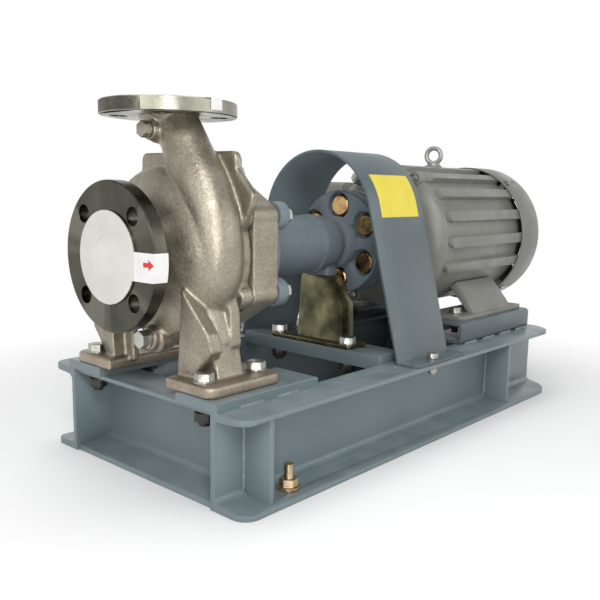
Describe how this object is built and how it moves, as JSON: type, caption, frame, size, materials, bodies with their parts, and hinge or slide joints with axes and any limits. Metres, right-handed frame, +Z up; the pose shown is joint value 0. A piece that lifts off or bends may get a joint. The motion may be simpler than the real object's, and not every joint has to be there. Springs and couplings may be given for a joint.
{
  "type": "centrifugal pump set",
  "caption": "End-suction centrifugal pump coupled to a ribbed foot-mounted motor on a welded channel base, with a strap guard over the flange coupling.",
  "frame": {"origin": "on the floor, under the middle of the overall length, in the vertical plane of the shaft", "axes": "+X along the shaft from the suction flange to the motor, +Y towards the far side with the terminal box, +Z up"},
  "size_m": [0.769, 0.342, 0.4035],
  "materials": {
    "frame_paint": "satin blue-grey paint",
    "pump_paint": "satin blue-grey paint",
    "motor_paint": "satin warm grey paint",
    "cast_stainless": "fine blasted casting",
    "machined": "turned",
    "steel": "plain",
    "yellow_zinc": "yellow zinc plate",
    "zinc_fixing": "zinc plate",
    "brass": "bright",
    "rubber": "matt",
    "ceramic": "lapped",
    "core": "laminated",
    "fan_plastic": "matt",
    "gland_plastic": "matt",
    "cover_board": "satin white",
    "tape": "matt white",
    "label": "satin yellow"
  },
  "bodies": {
    "set": {"side_channel_near": "frame_paint", "side_channel_far": "frame_paint", "end_channel_pump": "frame_paint", "end_channel_motor": "frame_paint", "channel_stiffeners": "frame_paint", "pump_pads": "frame_paint", "cross_bar": "frame_paint", "motor_rails": "frame_paint", "earth_stud": "yellow_zinc", "casing": "cast_stainless", "gauge_plug": "steel", "drain_plug": "steel", "casing_cover": "cast_stainless", "casing_studs": "zinc_fixing", "seal_seat": "steel", "bearing_housing": "pump_paint", "housing_bolts": "zinc_fixing", "pump_bearings": "steel", "bearing_cover": "pump_paint", "bearing_cover_screws": "zinc_fixing", "support_foot": "yellow_zinc", "support_bolts": "zinc_fixing", "pump_foot_bolts": "zinc_fixing", "coupling_guard": "frame_paint", "guard_bolts": "zinc_fixing", "guard_label": "label", "motor_front_bracket": "motor_paint", "motor_frame": "motor_paint", "bracket_bolts": "zinc_fixing", "motor_feet": "motor_paint", "motor_foot_bolts": "zinc_fixing", "motor_stator": "core", "motor_rear_bracket": "motor_paint", "motor_bearings": "steel", "fan_cover": "motor_paint", "fan_cover_screws": "zinc_fixing", "terminal_box": "motor_paint", "terminal_lid": "motor_paint", "lid_screws": "zinc_fixing", "cable_gland": "gland_plastic", "eye_bolt": "steel"},
    "pump_rotor": {"pump_shaft": "steel", "impeller": "machined", "impeller_nut": "steel", "seal_ring": "ceramic", "pump_key": "steel", "coupling_pump_half": "pump_paint", "coupling_bushes": "rubber"},
    "motor_rotor": {"motor_shaft": "steel", "motor_rotor_core": "core", "cooling_fan": "fan_plastic", "motor_key": "steel", "coupling_motor_half": "pump_paint", "coupling_bolts": "brass"},
    "suction_cover": {"suction_cover": "cover_board", "suction_tape": "tape"},
    "discharge_cover": {"discharge_cover": "cover_board", "discharge_tape": "tape"}
  },
  "joints": [
    {"name": "motor_spin", "type": "hinge", "parent": "set", "child": "motor_rotor", "pos_m": [0, 0, 0.242], "axis": [1, 0, 0], "continuous": true},
    {"name": "pump_spin", "type": "hinge", "parent": "set", "child": "pump_rotor", "pos_m": [0, 0, 0.242], "axis": [1, 0, 0], "continuous": true},
    {"name": "suction_cover_off", "type": "slide", "parent": "set", "child": "suction_cover", "axis": [-1, 0, 0], "range_m": [0, 0.1]},
    {"name": "discharge_cover_off", "type": "slide", "parent": "set", "child": "discharge_cover", "axis": [0, 0, 1], "range_m": [0, 0.1]}
  ],
  "couplings": [
    {"joint": "pump_spin", "follows": "motor_spin", "ratio": 1}
  ]
}
